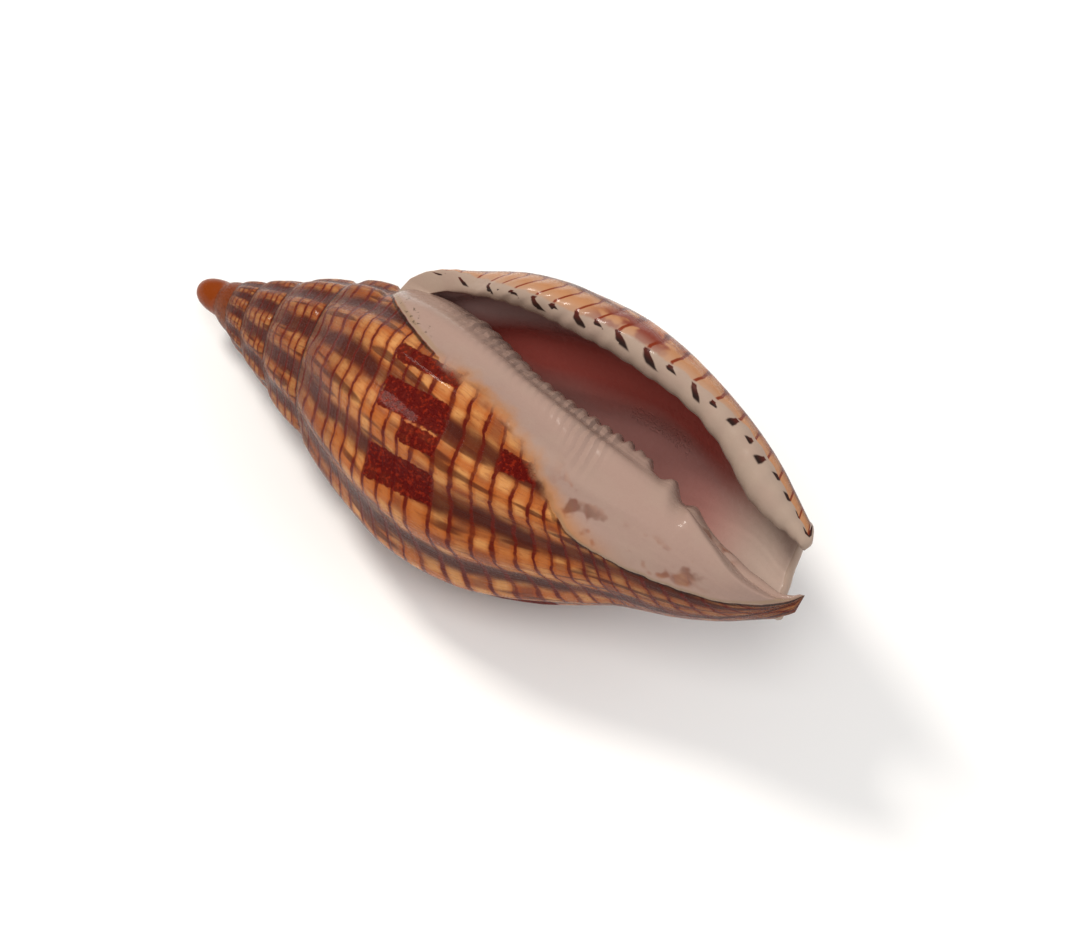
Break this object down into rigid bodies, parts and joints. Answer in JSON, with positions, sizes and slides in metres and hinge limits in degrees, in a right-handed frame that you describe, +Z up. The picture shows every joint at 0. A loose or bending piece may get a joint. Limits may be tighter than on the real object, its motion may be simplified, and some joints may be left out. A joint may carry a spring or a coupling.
{
  "type": "volute shell",
  "caption": "Ribbed sea snail shell lying on its back, with a pointed spire, a long open aperture, a folded columella and a thick outer lip.",
  "frame": {"origin": "centre of the shell's bounding box, on the surface it rests on", "axes": "+X along the shell towards its front end, +Z up through the aperture"},
  "size_m": [0.0554, 0.024, 0.0236],
  "materials": {
    "shell_surface": "gloss"
  },
  "bodies": {
    "root": {"shell": "shell_surface"}
  },
  "joints": []
}
